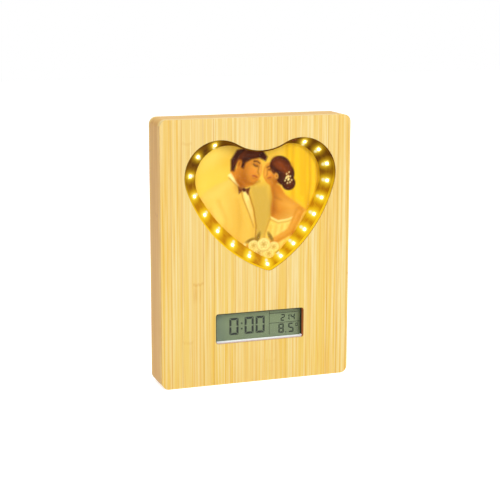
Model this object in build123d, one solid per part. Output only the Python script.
from build123d import *
import math
import os

# Photo frame clock: a bamboo case with a lit heart window above a digital display.
# Millimetres. X runs to the viewer's right, Y from the front to the back, Z up.
# The origin is the middle of the base.

# Overall size
width = 148
height = 200
depth = 29
corner_radius = 5.5

# Case boards
front_thickness = 6
rear_thickness = 4
wall = 8
overrun = 1
fit_gap = 0.15
free_gap = 0.3

# Display opening
display_x = 2.8
display_z = 43
display_width = 70
display_height = 23
display_corner = 2

# Heart opening in the front board, as cut in the wood
heart_x = 3.4
heart_side_gap = 14.9
heart_top_gap = 15.8
heart_display_gap = 30.5
heart_lobe_radius = 27.2
opening_sizes = {
    "lobe_offset": width / 2 - heart_side_gap - heart_lobe_radius,
    "lobe_z": height - heart_top_gap - heart_lobe_radius,
    "lobe_radius": heart_lobe_radius,
    "notch_radius": 36.4,
    "side_radius": 105,
    "tip_z": display_z + display_height / 2 + heart_display_gap,
    "tip_shift": 6.4,
    "tip_radius": 6,
}

# Heart outline of the photograph that stays in view
photo_lobe_step = 7.5
photo_lobe_drop = 2.4
photo_tip_rise = 8
photo_sizes = {
    "lobe_offset": opening_sizes["lobe_offset"] - photo_lobe_step,
    "lobe_z": opening_sizes["lobe_z"] - photo_lobe_drop,
    "lobe_radius": 24.7,
    "notch_radius": 40.2,
    "side_radius": 125,
    "tip_z": opening_sizes["tip_z"] + photo_tip_rise,
    "tip_shift": 8.8,
    "tip_radius": 6.5,
}

# Gilt liner of the heart recess
liner_set_back = 0.4
liner_wall = 1
rim_depth = 2.5
floor_depth = 6
flange_width = 3
flange_thickness = 1.2
pocket_lap = 1.6
pocket_wall = 1
pocket_depth = 4.4

# Photograph and the plates that hold it
window_thickness = 1.5
print_thickness = 0.3
backer_thickness = 2

# Light strip along the sloped wall
strip_thickness = 0.4
strip_outer_share = 0.16
strip_inner_share = 0.72
strip_end_step = 3.7
right_lamp_steps = 9
left_lamp_steps = 8
tip_lamp_shift = 2.5
lamp_share = 0.4
lamp_length = 3.5
lamp_width = 2.8
lamp_height = 0.8
lamp_start_angle = 75.5
lamp_seat_gap = 0.02
lens_radius = 1.15
lens_depth = 0.35

# Bezel, display and its holder
bezel_set_back = 0.2
bezel_wall = 0.4
bezel_slope = 0.4
bezel_depth = 4.8
cover_thickness = 0.8
glass_inset = 0.3
glass_thickness = 2.8
reflector_thickness = 0.3
zebra_width = 1.6
zebra_height = 2.4
holder_margin = 7
holder_corner = 2
ear_width = 8
ear_height = 8
screw_inset = 4
board_margin = 3.5
board_thickness = 1.2
board_corner = 1

# Parts on the clock board
chip_radius = 6
chip_height = 1.6
chip_x = -14
crystal_radius = 1.5
crystal_length = 8
crystal_x = 2
buzzer_radius = 6
buzzer_height = 4.5
buzzer_x = 26
port_radius = 1
sensor_radius = 1.2
sensor_length = 4
sensor_x = 14

# Control board, switches and buttons
control_wall_gap = 6
control_z = 36
control_width = 44
control_height = 34
control_thickness = 1.6
control_gap = 5
post_radius = 2.1
control_screw_inset = 3.2
tact_size = 6
tact_height = 3.4
tact_bore = 2
plunger_radius = 1.7
plunger_height = 1.1
plunger_seat = 0.8
button_radius = 3.4
button_flange_radius = 4.3
button_flange_height = 0.7
button_set_back = 0.5
button_travel = 0.4
button_crown = 0.4
button_pitch = 10.5
button_row_z = 8
switch_row_z = -7
switch_body_width = 12
switch_body_height = 6
switch_body_depth = 2.8
switch_slot_width = 7.4
switch_slot_height = 2.6
knob_width = 3.2
knob_height = 2
knob_depth = 1
knob_travel = 4
knob_cap_width = 5
knob_cap_height = 3.6
knob_corner = 0.8
knob_ribs = 4
knob_rib_depth = 0.3

# Battery box with three cells
battery_wall_gap = 1.5
battery_z = 37
cell_count = 3
cell_radius = 5.15
cell_length = 43.3
nub_radius = 1.9
nub_length = 1.1
cell_gap = 0.6
spring_length = 4.2
spring_radius = 2.6
spring_wire = 0.25
spring_turns = 4
contact_thickness = 0.4
contact_width = 8
box_wall = 1.5
box_slack = 0.6
box_flange = 4
box_flange_thickness = 1.4
box_corner = 2
box_ledge = 1.4
cover_plate = 1.6
cover_set_back = 0.3
cover_gap = 0.3
grip_ribs = 5
grip_rib_width = 14
grip_rib_height = 0.9
grip_rib_pitch = 2
grip_depth = 0.5
latch_width = 12
latch_height = 6
latch_slot = 0.8

# Photo door in the rear board
door_x = 0
door_side_gap = 20
door_top_gap = 10
door_ledge = 8
door_corner = 6
door_recess = 2.4
door_thickness = 2
door_gap = 0.4
finger_radius = 9
magnet_radius = 2.5
magnet_thickness = 1
magnet_inset = 4
pad_width = 20
pad_pitch = 38
pad_rise = 13.4
pad_lift = 30

# Screws
rear_screw_radius = 1.5
rear_screw_head = 2.9
rear_screw_head_height = 1.7
rear_screw_length = 14
small_screw_radius = 0.9
small_screw_head = 1.8
small_screw_head_height = 1.2
small_screw_length = 4
cross_width = 0.6
cross_length_share = 0.62
cross_depth_share = 0.6
screw_gap = 0.03

# Wires
wire_radius = 0.4
wire_pitch = 1.8
wire_wall_gap = 2.4
wire_depth_gap = 2
wire_end_inset = 7
battery_wire_lift = 12.8
battery_wire_start_gap = 3
cable_inset = 4.3
cable_z = 43
cable_width = 8
cable_thickness = 0.5

# Faces along the depth
front_y = -depth / 2
rear_y = depth / 2
front_back_y = front_y + front_thickness
rear_inner_y = rear_y - rear_thickness
rim_y = front_y + rim_depth
floor_y = front_y + floor_depth
flange_y = front_back_y + flange_thickness
window_y = flange_y + window_thickness
print_y = window_y + print_thickness
backer_y = print_y + backer_thickness
pocket_y = flange_y + pocket_depth
bezel_y = front_y + bezel_depth
cover_y = bezel_y + cover_thickness
glass_y = cover_y + glass_thickness
board_y = glass_y + zebra_height
board_back_y = board_y + board_thickness
control_back_y = rear_inner_y - control_gap
control_front_y = control_back_y - control_thickness
door_inner_y = rear_y - door_recess + (door_recess - door_thickness) / 2
box_mouth_y = rear_y - cover_set_back
cover_inner_y = box_mouth_y - cover_plate
cell_y = cover_inner_y - free_gap - cell_radius
box_floor_y = cell_y - cell_radius - free_gap
box_bottom_y = box_floor_y - box_wall

# Photo door and pads, from the case and the heart
door_bottom = opening_sizes["tip_z"]
door_width = width - 2 * door_side_gap
door_height = height - door_top_gap - door_bottom
door_z = door_bottom + door_height / 2
pad_bottom = door_bottom + door_ledge + pad_lift
pad_top = photo_sizes["lobe_z"] + pad_rise
pad_height = pad_top - pad_bottom
pad_z = (pad_top + pad_bottom) / 2
strip_gap_width = 2 * (opening_sizes["lobe_offset"] - strip_end_step)

# Clock module sizes that follow from the opening
glass_width = display_width - 2 * glass_inset
glass_height = display_height - 2 * glass_inset
board_width = display_width + 2 * board_margin
board_height = display_height + 2 * board_margin
holder_width = display_width + 2 * holder_margin
holder_height = display_height + 2 * holder_margin

# Battery box sizes that follow from the cells
cell_pitch = 2 * cell_radius + cell_gap
box_inner_width = cell_length + nub_length + spring_length + 2 * contact_thickness + box_slack
box_inner_height = cell_count * cell_pitch + box_slack
box_width = box_inner_width + 2 * box_wall
box_height = box_inner_height + 2 * box_wall

# Places along X that follow from the case walls
inner_half_width = width / 2 - wall
battery_x = battery_wall_gap + box_width / 2 - inner_half_width
control_x = inner_half_width - control_wall_gap - control_width / 2
cable_x = display_x + board_width / 2 - cable_inset


def slab(outline, y_front, y_rear):
    """A flat outline in X and Z made solid between two depths."""
    return extrude(Plane.XZ.offset(-y_rear) * outline, amount=y_rear - y_front)


def at_depth(outline, y):
    return Plane.XZ.offset(-y) * outline


def rounded(size_x, size_z, radius, x=0, z=0):
    return Pos(x, z) * RectangleRounded(size_x, size_z, radius)


def disc(radius, x=0, z=0):
    return Pos(x, z) * Circle(radius)


def bar(size_x, size_z, x=0, z=0):
    return Pos(x, z) * Rectangle(size_x, size_z)


def mixed_sizes(share):
    """Heart sizes part of the way from the opening to the photograph."""
    sizes = {}
    for name in opening_sizes:
        sizes[name] = opening_sizes[name] + share * (photo_sizes[name] - opening_sizes[name])
    return sizes


def side_centre(lobe, lobe_radius, tip, tip_radius, side_radius, side):
    """Centre of the long side arc that touches a lobe circle and the tip circle."""
    to_lobe = side_radius - lobe_radius
    to_tip = side_radius - tip_radius
    line = tip - lobe
    span = line.length
    along = (to_lobe ** 2 - to_tip ** 2 + span ** 2) / (2 * span)
    across = math.sqrt(to_lobe ** 2 - along ** 2)
    ahead = line.normalized()
    sideways = Vector(-ahead.Y, ahead.X) * side
    return lobe + ahead * along + sideways * across


def direction(start, end):
    return math.atan2(end.Y - start.Y, end.X - start.X)


def heart_arcs(sizes, grow=0):
    """Six touching arcs, clockwise from the notch, each as centre, radius, start and sweep."""
    lobe_radius = sizes["lobe_radius"]
    tip_radius = sizes["tip_radius"]
    side_radius = sizes["side_radius"]
    notch_radius = sizes["notch_radius"]
    notch_rise = math.sqrt((lobe_radius + notch_radius) ** 2 - sizes["lobe_offset"] ** 2)
    left = Vector(heart_x - sizes["lobe_offset"], sizes["lobe_z"])
    right = Vector(heart_x + sizes["lobe_offset"], sizes["lobe_z"])
    notch = Vector(heart_x, sizes["lobe_z"] + notch_rise)
    tip = Vector(heart_x + sizes["tip_shift"], sizes["tip_z"] + tip_radius)
    right_side = side_centre(right, lobe_radius, tip, tip_radius, side_radius, -1)
    left_side = side_centre(left, lobe_radius, tip, tip_radius, side_radius, 1)
    turns = [
        (notch, notch_radius - grow, -math.pi / 2, direction(notch, right), 1),
        (right, lobe_radius + grow, direction(right, notch), direction(right_side, right), -1),
        (right_side, side_radius + grow, direction(right_side, right), direction(right_side, tip), -1),
        (tip, tip_radius + grow, direction(right_side, tip), direction(left_side, tip), -1),
        (left_side, side_radius + grow, direction(left_side, tip), direction(left_side, left), -1),
        (left, lobe_radius + grow, direction(left_side, left), direction(left, notch), -1),
        (notch, notch_radius - grow, direction(notch, left), -math.pi / 2, 1),
    ]
    arcs = []
    for centre, radius, start, end, turn in turns:
        sweep = (end - start) * turn % (2 * math.pi) * turn
        arcs.append((centre, radius, start, sweep))
    return arcs


def arc_point(arc, share):
    centre, radius, start, sweep = arc
    angle = start + share * sweep
    return centre + Vector(math.cos(angle), math.sin(angle)) * radius


def heart(sizes, grow=0):
    edges = []
    for arc in heart_arcs(sizes, grow):
        edges.append(ThreePointArc(arc_point(arc, 0), arc_point(arc, 1 / 2), arc_point(arc, 1)))
    return make_face(edges)


def case_outline():
    return Pos(0, height / 2) * RectangleRounded(width, height, corner_radius)


def rear_screw_places():
    x = (width - wall) / 2
    places = []
    for side in (-1, 1):
        for z in (wall / 2 + corner_radius, height / 2, height - wall / 2 - corner_radius):
            places.append((side * x, z))
    return places


def holder_screw_places():
    places = []
    for side in (-1, 1):
        for end in (-1, 1):
            x = display_x + side * (holder_width / 2 + ear_width - screw_inset)
            z = display_z + end * (holder_height / 2 - ear_height / 2)
            places.append((x, z))
    return places


def board_screw_places():
    places = []
    for side in (-1, 1):
        x = display_x + side * (board_width / 2 - small_screw_head)
        places.append((x, display_z))
    return places


def control_screw_places():
    places = []
    for side in (-1, 1):
        for end in (-1, 1):
            x = control_x + side * (control_width / 2 - control_screw_inset)
            z = control_z + end * (control_height / 2 - control_screw_inset)
            places.append((x, z))
    return places


def box_screw_places():
    places = []
    for side in (-1, 1):
        for end in (-1, 1):
            x = battery_x + side * (box_width / 2 - box_flange / 2)
            z = battery_z + end * (box_height / 2 + box_flange / 2)
            places.append((x, z))
    return places


def button_places():
    places = []
    for name, step in (("mode", 3), ("set", 1), ("up", -1), ("down", -3)):
        places.append((name, control_x + step * button_pitch / 2, control_z + button_row_z))
    return places


def magnet_places():
    places = []
    for side in (-1, 1):
        for end in (-1, 1):
            x = door_x + side * (door_width / 2 - magnet_inset)
            z = door_z + end * (door_height / 2 - magnet_inset)
            places.append((x, z))
    return places


def screw(x, z, y_head, length, radius, head_radius, head_height, heading, sunk):
    """A cross-head screw whose head lies at y_head, its shank running the way of heading."""
    if sunk:
        head = Cone(head_radius, radius, head_height)
    else:
        head = Cylinder(head_radius, head_height)
    shank = Pos(0, 0, (length + head_height) / 2 - head_height / 2) * Cylinder(radius, length)
    slot_depth = head_height * cross_depth_share
    slot_length = 2 * head_radius * cross_length_share
    cut = Pos(0, 0, (slot_depth - head_height) / 2) * Box(slot_length, cross_width, slot_depth)
    cut += Pos(0, 0, (slot_depth - head_height) / 2) * Box(cross_width, slot_length, slot_depth)
    body = head + shank - cut
    body = Pos(0, 0, head_height / 2) * body
    turn = Rot(-90, 0, 0) if heading > 0 else Rot(90, 0, 0)
    return Pos(x, y_head, z) * turn * body


def screw_group(places, y_head, length, radius, head_radius, head_height, heading, sunk=False):
    screws = []
    for x, z in places:
        screws.append(screw(x, z, y_head, length, radius, head_radius, head_height, heading, sunk))
    return Compound(children=screws)


def screw_holes(places, y_front, y_rear, radius):
    holes = Sketch() + [disc(radius, x, z) for x, z in places]
    return slab(holes, y_front, y_rear)


# Case

def front_panel():
    body = slab(case_outline(), front_y, front_back_y)
    body -= slab(heart(opening_sizes), front_y - overrun, front_back_y + overrun)
    window = rounded(display_width, display_height, display_corner, display_x, display_z)
    body -= slab(window, front_y - overrun, front_back_y + overrun)
    pilots = holder_screw_places()
    body -= screw_holes(pilots, front_back_y - small_screw_length, front_back_y + overrun,
                        small_screw_radius + screw_gap)
    return body


def body_frame():
    inside = bar(width - 2 * wall, height - 2 * wall, 0, height / 2)
    body = slab(case_outline() - inside, front_back_y, rear_inner_y)
    depth_of_hole = rear_y - rear_screw_length - rear_screw_head_height - free_gap
    body -= screw_holes(rear_screw_places(), depth_of_hole, rear_inner_y + overrun,
                        rear_screw_radius + screw_gap)
    return body


def rear_board():
    body = slab(case_outline(), rear_inner_y, rear_y)
    through = (rear_inner_y - overrun, rear_y + overrun)
    opening = rounded(door_width - 2 * door_ledge, door_height - 2 * door_ledge, door_corner, door_x, door_z)
    body -= slab(opening, *through)
    recess = rounded(door_width, door_height, door_corner, door_x, door_z)
    recess += disc(finger_radius, door_x, door_z - door_height / 2)
    body -= slab(recess, rear_y - door_recess, rear_y + overrun)
    body -= screw_holes(magnet_places(), rear_y - door_recess - magnet_thickness, rear_y,
                        magnet_radius + screw_gap)
    battery_hole = rounded(box_width + 2 * fit_gap, box_height + 2 * fit_gap, box_corner, battery_x, battery_z)
    body -= slab(battery_hole, *through)
    for name, x, z in button_places():
        body -= slab(disc(button_radius + free_gap, x, z), *through)
        flange_room = button_flange_height + button_travel + free_gap
        body -= slab(disc(button_flange_radius + free_gap, x, z), rear_inner_y - overrun,
                     rear_inner_y + flange_room)
    slot_width = knob_cap_width + knob_travel + 2 * free_gap
    slot = rounded(slot_width, knob_cap_height + 2 * free_gap, knob_corner + free_gap, control_x,
                   control_z + switch_row_z)
    body -= slab(slot, *through)
    body -= screw_holes(control_screw_places(), rear_inner_y - overrun, rear_inner_y + rear_thickness / 2,
                        small_screw_radius + screw_gap)
    body -= screw_holes(box_screw_places(), rear_inner_y - overrun, rear_inner_y + rear_thickness / 2,
                        small_screw_radius + screw_gap)
    for x, z in rear_screw_places():
        body -= slab(disc(rear_screw_radius + screw_gap, x, z), *through)
        sink = Cone(rear_screw_head + screw_gap, rear_screw_radius + screw_gap, rear_screw_head_height)
        body -= Pos(x, rear_y - rear_screw_head_height / 2, z) * Rot(90, 0, 0) * sink
    return body


def rear_screws():
    return screw_group(rear_screw_places(), rear_y, rear_screw_length, rear_screw_radius,
                       rear_screw_head, rear_screw_head_height, -1, sunk=True)


# Heart recess

def recess_space(shift=0):
    """The open space in front of the sloped wall, moved towards the viewer by shift."""
    rim = at_depth(heart(opening_sizes, -liner_wall - fit_gap), rim_y - shift)
    floor = at_depth(heart(photo_sizes), floor_y - shift)
    return loft([rim, floor], ruled=True)


def heart_liner():
    body = slab(heart(opening_sizes, -fit_gap), front_y + liner_set_back, flange_y)
    body += slab(heart(opening_sizes, flange_width), front_back_y, flange_y)
    body += slab(heart(photo_sizes, pocket_lap + fit_gap + pocket_wall), flange_y, pocket_y)
    body -= slab(heart(opening_sizes, -liner_wall - fit_gap), front_y - overrun, rim_y)
    body -= recess_space()
    body -= slab(heart(photo_sizes), floor_y, flange_y + overrun)
    body -= slab(heart(photo_sizes, pocket_lap + fit_gap), flange_y, pocket_y + overrun)
    for path in lamp_wire_starts():
        body -= slab(disc(wire_radius + free_gap, path.X, path.Y), rim_y, pocket_y)
    return body


def strip_outline():
    ring = heart(mixed_sizes(strip_outer_share)) - heart(mixed_sizes(strip_inner_share))
    return ring - bar(strip_gap_width, width / 2, heart_x, opening_sizes["lobe_z"] + width / 4)


def light_strip():
    sheet = recess_space() - recess_space(strip_thickness)
    return sheet & slab(strip_outline(), front_y, floor_y)


def lamp_planes():
    """A plane on the sloped wall for each lamp, its X along the heart and its Z out of the wall.

    One lamp sits beside the tip and the others are spread evenly up both sides.
    """
    outer = heart_arcs(opening_sizes, -liner_wall - fit_gap)
    inner = heart_arcs(photo_sizes)
    middle = heart_arcs(mixed_sizes(lamp_share))
    start = middle[1]
    lengths = [abs(arc[1] * arc[3]) for arc in middle]
    lead = abs(math.radians(lamp_start_angle) - start[2]) * start[1]
    right = lengths[1] + lengths[2] + lengths[3] / 2 + tip_lamp_shift - lead
    left = sum(lengths[1:6]) - 2 * lead - right
    places = [lead + right * index / right_lamp_steps for index in range(right_lamp_steps)]
    places += [lead + right + left * index / left_lamp_steps for index in range(left_lamp_steps + 1)]
    planes = []
    for place in places:
        arc_index = 1
        while place > lengths[arc_index]:
            place -= lengths[arc_index]
            arc_index += 1
        share = place / lengths[arc_index]
        top = arc_point(outer[arc_index], share)
        low = arc_point(inner[arc_index], share)
        top_3d = Vector(top.X, rim_y, top.Y)
        low_3d = Vector(low.X, floor_y, low.Y)
        centre, radius, begin, sweep = middle[arc_index]
        angle = begin + share * sweep
        tangent = Vector(math.sin(angle), 0, -math.cos(angle))
        tightest = min(outer[arc_index][1], inner[arc_index][1])
        seat = tightest - math.sqrt(tightest ** 2 - (lamp_length / 2) ** 2) + lamp_seat_gap
        down = (low_3d - top_3d).normalized()
        normal = tangent.cross(down).normalized()
        if normal.Y > 0:
            normal = normal * -1
        origin = top_3d + (low_3d - top_3d) * lamp_share
        origin = origin + Vector(0, -strip_thickness, 0) + normal * seat
        planes.append(Plane(origin=origin, x_dir=tangent, z_dir=normal))
    return planes


def lamp_housings():
    lamps = []
    for plane in lamp_planes():
        case = Pos(0, 0, lamp_height / 2) * Box(lamp_length, lamp_width, lamp_height)
        case -= Pos(0, 0, lamp_height - lens_depth / 2) * Cylinder(lens_radius, lens_depth)
        lamps.append(plane * case)
    return Compound(children=lamps)


def lamp_lenses():
    lenses = []
    for plane in lamp_planes():
        lenses.append(plane * Pos(0, 0, lamp_height - lens_depth / 2) * Cylinder(lens_radius, lens_depth))
    return Compound(children=lenses)


def photo_window():
    return slab(heart(photo_sizes, pocket_lap), flange_y, window_y)


def photo_print():
    return slab(heart(photo_sizes, pocket_lap), window_y, print_y)


def photo_backer():
    return slab(heart(photo_sizes, pocket_lap), print_y, backer_y)


# Clock module

def display_bezel():
    outside = rounded(display_width - 2 * fit_gap, display_height - 2 * fit_gap, display_corner,
                      display_x, display_z)
    mouth = rounded(display_width - 2 * bezel_wall - 2 * fit_gap, display_height - 2 * bezel_wall - 2 * fit_gap,
                    display_corner - bezel_wall, display_x, display_z)
    foot = rounded(display_width - 2 * bezel_slope - 2 * bezel_wall,
                   display_height - 2 * bezel_slope - 2 * bezel_wall,
                   display_corner - bezel_wall - bezel_slope, display_x, display_z)
    body = slab(outside, front_y + bezel_set_back, bezel_y)
    return body - loft([at_depth(mouth, front_y + bezel_set_back), at_depth(foot, bezel_y)], ruled=True)


def glass_outline():
    return rounded(glass_width, glass_height, display_corner, display_x, display_z)


def display_cover():
    return slab(glass_outline(), bezel_y, cover_y)


def display_glass():
    return slab(glass_outline(), cover_y, glass_y)


def display_reflector():
    inner_height = glass_height - 2 * zebra_width - 2 * free_gap
    sheet = bar(glass_width, inner_height, display_x, display_z)
    return slab(sheet, glass_y, glass_y + reflector_thickness)


def contact_strips():
    strips = []
    for end in (-1, 1):
        z = display_z + end * (glass_height - zebra_width) / 2
        strips.append(slab(bar(glass_width, zebra_width, display_x, z), glass_y, board_y))
    return Compound(children=strips)


def module_holder():
    outline = rounded(holder_width, holder_height, holder_corner, display_x, display_z)
    for side in (-1, 1):
        for end in (-1, 1):
            x = display_x + side * (holder_width / 2 + ear_width / 2 - holder_corner / 2)
            z = display_z + end * (holder_height / 2 - ear_height / 2)
            outline += rounded(ear_width + holder_corner, ear_height, holder_corner, x, z)
    plate = slab(outline, front_back_y, front_back_y + flange_thickness)
    ring = rounded(holder_width, holder_height, holder_corner, display_x, display_z)
    body = plate + slab(ring, front_back_y, board_y)
    inside = bar(display_width - glass_inset, display_height - glass_inset, display_x, display_z)
    body -= slab(inside, front_back_y - overrun, board_y + overrun)
    body -= screw_holes(holder_screw_places(), front_back_y - overrun, front_back_y + flange_thickness + overrun,
                        small_screw_radius + screw_gap)
    body -= screw_holes(board_screw_places(), board_y - small_screw_length, board_y + overrun,
                        small_screw_radius + screw_gap)
    return body


def holder_screws():
    return screw_group(holder_screw_places(), front_back_y + flange_thickness + small_screw_head_height,
                       small_screw_length, small_screw_radius, small_screw_head, small_screw_head_height, -1)


def clock_board():
    body = slab(rounded(board_width, board_height, board_corner, display_x, display_z), board_y, board_back_y)
    return body - screw_holes(board_screw_places(), board_y - overrun, board_back_y + overrun,
                              small_screw_radius + screw_gap)


def board_screws():
    return screw_group(board_screw_places(), board_back_y + small_screw_head_height,
                       small_screw_length, small_screw_radius, small_screw_head, small_screw_head_height, -1)


def clock_chip():
    """A drop of black resin over the chip."""
    ball_radius = (chip_radius ** 2 + chip_height ** 2) / (2 * chip_height)
    ball = Pos(display_x + chip_x, board_back_y + chip_height - ball_radius, display_z) * Sphere(ball_radius)
    return ball & slab(disc(chip_radius + overrun, display_x + chip_x, display_z), board_back_y,
                       board_back_y + chip_height + overrun)


def clock_crystal():
    place = Pos(display_x + crystal_x, board_back_y + crystal_radius, display_z)
    return place * Cylinder(crystal_radius, crystal_length)


def alarm_buzzer():
    place = (display_x + buzzer_x, display_z)
    body = slab(disc(buzzer_radius, *place), board_back_y, board_back_y + buzzer_height)
    port_depth = buzzer_height / 2
    return body - slab(disc(port_radius, *place), board_back_y + port_depth, board_back_y + buzzer_height)


def temperature_sensor():
    x = display_x + sensor_x
    bead = Pos(x, board_back_y + sensor_length, display_z) * Sphere(sensor_radius)
    for side in (-1, 1):
        leg_x = x + side * sensor_radius / 2
        bead += slab(disc(sensor_radius / 4, leg_x, display_z), board_back_y, board_back_y + sensor_length)
    return bead


# Controls

def control_board():
    board = rounded(control_width, control_height, board_corner, control_x, control_z)
    body = slab(board, control_front_y, control_back_y)
    return body - screw_holes(control_screw_places(), control_front_y - overrun, control_back_y + overrun,
                              small_screw_radius + screw_gap)


def control_posts():
    posts = []
    for x, z in control_screw_places():
        ring = disc(post_radius, x, z) - disc(small_screw_radius + screw_gap, x, z)
        posts.append(slab(ring, control_back_y, rear_inner_y))
    return Compound(children=posts)


def control_screws():
    return screw_group(control_screw_places(), control_front_y - small_screw_head_height,
                       control_gap + control_thickness + rear_thickness / 2 - fit_gap, small_screw_radius,
                       small_screw_head, small_screw_head_height, 1)


def button_switches():
    switches = []
    for name, x, z in button_places():
        case = slab(bar(tact_size, tact_size, x, z), control_back_y, control_back_y + tact_height)
        case -= slab(disc(tact_bore, x, z), control_back_y + tact_height - plunger_seat - button_travel,
                     control_back_y + tact_height + overrun)
        switches.append(case)
    return Compound(children=switches)


def button_plunger(x, z):
    base = control_back_y + tact_height - plunger_seat
    return slab(disc(plunger_radius, x, z), base, base + plunger_seat + plunger_height)


def button_cap(x, z):
    seat = control_back_y + tact_height + plunger_height
    top = rear_y - button_set_back
    cap = slab(disc(button_radius, x, z), seat, top)
    rim = cap.edges().group_by(Axis.Y)[-1]
    cap = fillet(rim, button_crown)
    flange_top = rear_inner_y + button_flange_height
    return cap + slab(disc(button_flange_radius, x, z), rear_inner_y, flange_top)


def slide_switch():
    z = control_z + switch_row_z
    body = slab(bar(switch_body_width, switch_body_height, control_x, z), control_back_y,
                control_back_y + switch_body_depth)
    slot = bar(switch_slot_width + 2 * free_gap, switch_slot_height, control_x, z)
    return body - slab(slot, control_back_y + switch_body_depth - knob_depth - free_gap,
                       control_back_y + switch_body_depth + overrun)


def light_switch_knob():
    """The knob stands at its off end and slides towards +X."""
    x = control_x - knob_travel / 2
    z = control_z + switch_row_z
    stem_front = control_back_y + switch_body_depth - knob_depth
    body = slab(bar(knob_width, knob_height, x, z), stem_front, rear_inner_y)
    cap = rounded(knob_cap_width, knob_cap_height, knob_corner, x, z)
    body += slab(cap, rear_inner_y, rear_y - button_set_back)
    for index in range(knob_ribs):
        rib_x = x + (index - (knob_ribs - 1) / 2) * knob_cap_width / knob_ribs
        groove = bar(knob_rib_depth, knob_cap_height + overrun, rib_x, z)
        body -= slab(groove, rear_y - button_set_back - knob_rib_depth, rear_y)
    return body


# Batteries

def cell_rows():
    rows = []
    for index in range(cell_count):
        rows.append((battery_z + (index - (cell_count - 1) / 2) * cell_pitch, 1 if index % 2 == 0 else -1))
    return rows


def battery_box():
    outside = rounded(box_width, box_height, box_corner, battery_x, battery_z)
    body = slab(outside, box_bottom_y, box_mouth_y)
    flange = rounded(box_width, box_height + 2 * box_flange, box_corner, battery_x, battery_z)
    body += slab(flange, rear_inner_y - box_flange_thickness, rear_inner_y)
    inside = bar(box_inner_width, box_inner_height, battery_x, battery_z)
    body -= slab(inside, box_floor_y, box_mouth_y + overrun)
    seat = bar(box_inner_width + 2 * (box_wall - box_ledge / 2), box_inner_height + 2 * (box_wall - box_ledge / 2),
               battery_x, battery_z)
    body -= slab(seat, cover_inner_y, box_mouth_y + overrun)
    body -= screw_holes(box_screw_places(), rear_inner_y - box_flange_thickness - overrun, rear_inner_y + overrun,
                        small_screw_radius + screw_gap)
    return body


def box_screws():
    return screw_group(box_screw_places(), rear_inner_y - box_flange_thickness - small_screw_head_height,
                       box_flange_thickness + rear_thickness / 2 - fit_gap, small_screw_radius,
                       small_screw_head, small_screw_head_height, 1)


def battery_cells():
    cells = []
    for z, way in cell_rows():
        spring_end = battery_x - way * (box_inner_width / 2 - contact_thickness - spring_length - fit_gap)
        start = spring_end
        middle = start + way * cell_length / 2
        body = Pos(middle, cell_y, z) * Rot(0, 90, 0) * Cylinder(cell_radius, cell_length)
        nub_x = start + way * (cell_length + nub_length / 2)
        body += Pos(nub_x, cell_y, z) * Rot(0, 90, 0) * Cylinder(nub_radius, nub_length)
        cells.append(body)
    return Compound(children=cells)


def battery_contacts():
    plates = []
    x = box_inner_width / 2 - contact_thickness / 2
    for z, way in cell_rows():
        for side in (-1, 1):
            plate = Box(contact_thickness, contact_width, contact_width)
            plates.append(Pos(battery_x + side * x, cell_y, z) * plate)
    return Compound(children=plates)


def battery_springs():
    springs = []
    for z, way in cell_rows():
        pitch = (spring_length - 2 * spring_wire) / spring_turns
        base = battery_x - way * (box_inner_width / 2 - contact_thickness - spring_wire)
        path = Helix(pitch, pitch * spring_turns, spring_radius)
        start = path @ 0
        section = Plane(origin=start, z_dir=path % 0) * Circle(spring_wire)
        coil = sweep(section, path=path)
        turn = Rot(0, 90 * way, 0)
        springs.append(Pos(base, cell_y, z) * turn * coil)
    return Compound(children=springs)


def battery_cover():
    seat_x = box_inner_width + 2 * (box_wall - box_ledge / 2) - 2 * cover_gap
    seat_z = box_inner_height + 2 * (box_wall - box_ledge / 2) - 2 * cover_gap
    body = slab(bar(seat_x, seat_z, battery_x, battery_z), cover_inner_y, box_mouth_y)
    for index in range(grip_ribs):
        z = battery_z + (index - (grip_ribs - 1) / 2) * grip_rib_pitch
        groove = bar(grip_rib_width, grip_rib_height, battery_x, z)
        body -= slab(groove, box_mouth_y - grip_depth, box_mouth_y + overrun)
    latch_x = battery_x + seat_x / 2 - latch_height / 2
    for end in (-1, 1):
        slit = bar(latch_height + overrun, latch_slot, latch_x + overrun / 2, battery_z + end * latch_width / 2)
        body -= slab(slit, cover_inner_y - overrun, box_mouth_y + overrun)
    return body


# Photo door

def photo_door():
    outline = rounded(door_width - 2 * door_gap, door_height - 2 * door_gap, door_corner - door_gap, door_x, door_z)
    body = slab(outline, door_inner_y, door_inner_y + door_thickness)
    return body - screw_holes(magnet_places(), door_inner_y - overrun, door_inner_y + magnet_thickness,
                              magnet_radius + screw_gap)


def door_magnets():
    discs = Sketch() + [disc(magnet_radius, x, z) for x, z in magnet_places()]
    return slab(discs, door_inner_y, door_inner_y + magnet_thickness)


def ledge_magnets():
    discs = Sketch() + [disc(magnet_radius, x, z) for x, z in magnet_places()]
    rear = rear_y - door_recess
    return slab(discs, rear - magnet_thickness, rear)


def pressure_pads():
    pads = []
    for side in (-1, 1):
        pad = bar(pad_width, pad_height, heart_x + side * pad_pitch / 2, pad_z)
        pads.append(slab(pad, backer_y + free_gap, door_inner_y))
    return Compound(children=pads)


# Wires

def lamp_wire_starts():
    """Two places beside the right end of the light strip where its wires pass the liner."""
    lobe = Vector(heart_x + opening_sizes["lobe_offset"], opening_sizes["lobe_z"])
    radius = opening_sizes["lobe_radius"] - liner_wall - 2 * fit_gap - wire_radius
    starts = []
    for step in (0, 1):
        x = heart_x + strip_gap_width / 2 - wire_radius - free_gap - step * wire_pitch
        starts.append(Vector(x, lobe.Y + math.sqrt(radius ** 2 - (lobe.X - x) ** 2)))
    return starts


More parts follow.
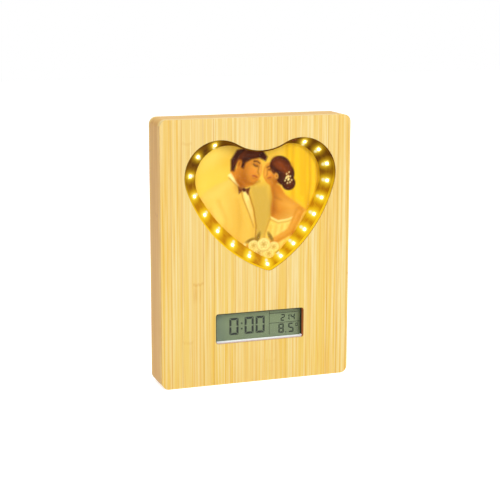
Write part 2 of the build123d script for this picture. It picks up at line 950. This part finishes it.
def tube(points, first, last):
    path = Spline(points, tangents=[first, last])
    section = Plane(origin=path @ 0, z_dir=path % 0) * Circle(wire_radius)
    return sweep(section, path=path)


def lamp_wires():
    """A pair from the light strip, down the right wall, to the front of the control board."""
    wires = []
    back = Vector(0, 1, 0)
    wall_x = inner_half_width - wire_wall_gap
    run_y = control_front_y - wire_depth_gap
    strip_y = rim_y
    end_x = control_x + control_width / 2 - 2 * wire_end_inset
    end_z = control_z + control_height / 2 - wire_end_inset
    for index, start in enumerate(lamp_wire_starts()):
        step = index * wire_pitch
        points = [
            Vector(start.X, strip_y, start.Y),
            Vector(start.X, (strip_y + flange_y) / 2, start.Y),
            Vector(start.X, flange_y, start.Y),
            Vector(start.X, pocket_y, start.Y),
            Vector(start.X + wire_end_inset, run_y, start.Y - wire_pitch),
            Vector(wall_x - wire_end_inset - wire_pitch + step, run_y, opening_sizes["lobe_z"] + wire_end_inset),
            Vector(wall_x - wire_pitch + step, run_y, height / 2 + wall),
            Vector(wall_x - wire_pitch + step, run_y, height / 2 - 2 * wall),
            Vector(end_x + wire_end_inset + step, run_y - wire_radius, end_z + 2 * wire_end_inset),
            Vector(end_x + step, control_front_y, end_z),
        ]
        wires.append(tube(points, back, back))
    return Compound(children=wires)


def battery_wires():
    """A pair from the side of the battery box to the front of the control board."""
    wires = []
    start_x = battery_x + box_width / 2
    end_x = control_x - control_width / 2 + wire_end_inset
    run_y = control_front_y - wire_depth_gap
    for index in (0, 1):
        z = battery_z + battery_wire_lift + index * wire_pitch
        points = [
            Vector(start_x, run_y + wire_depth_gap, z),
            Vector(start_x + battery_wire_start_gap, run_y + wire_depth_gap / 2, z),
            Vector((start_x + end_x) / 2, run_y - wire_radius, z),
            Vector(end_x - battery_wire_start_gap, run_y - wire_radius, z),
            Vector(end_x, control_front_y, z),
        ]
        wires.append(tube(points, Vector(1, 0, 0), Vector(0, 1, 0)))
    return Compound(children=wires)


def board_cable():
    """The flat cable between the clock board and the control board."""
    return slab(bar(cable_thickness, cable_width, cable_x, cable_z), board_back_y, control_front_y)


parts = {
    "front_panel": front_panel(),
    "body_frame": body_frame(),
    "rear_board": rear_board(),
    "rear_screws": rear_screws(),
    "heart_liner": heart_liner(),
    "light_strip": light_strip(),
    "lamp_housings": lamp_housings(),
    "lamp_lenses": lamp_lenses(),
    "photo_window": photo_window(),
    "photo_print": photo_print(),
    "photo_backer": photo_backer(),
    "display_bezel": display_bezel(),
    "display_cover": display_cover(),
    "display_glass": display_glass(),
    "display_reflector": display_reflector(),
    "contact_strips": contact_strips(),
    "module_holder": module_holder(),
    "holder_screws": holder_screws(),
    "clock_board": clock_board(),
    "board_screws": board_screws(),
    "clock_chip": clock_chip(),
    "clock_crystal": clock_crystal(),
    "alarm_buzzer": alarm_buzzer(),
    "temperature_sensor": temperature_sensor(),
    "control_board": control_board(),
    "control_posts": control_posts(),
    "control_screws": control_screws(),
    "button_switches": button_switches(),
    "slide_switch": slide_switch(),
    "light_switch_knob": light_switch_knob(),
    "battery_box": battery_box(),
    "box_screws": box_screws(),
    "battery_cells": battery_cells(),
    "battery_contacts": battery_contacts(),
    "battery_springs": battery_springs(),
    "battery_cover": battery_cover(),
    "photo_door": photo_door(),
    "door_magnets": door_magnets(),
    "ledge_magnets": ledge_magnets(),
    "pressure_pads": pressure_pads(),
    "lamp_wires": lamp_wires(),
    "battery_wires": battery_wires(),
    "board_cable": board_cable(),
}
for button_name, button_x, button_z in button_places():
    parts[button_name + "_button"] = button_cap(button_x, button_z)
    parts[button_name + "_plunger"] = button_plunger(button_x, button_z)

os.makedirs("parts", exist_ok=True)
for name, shape in parts.items():
    export_step(shape, "parts/" + name + ".step")
    print(name, round(shape.volume, 1))
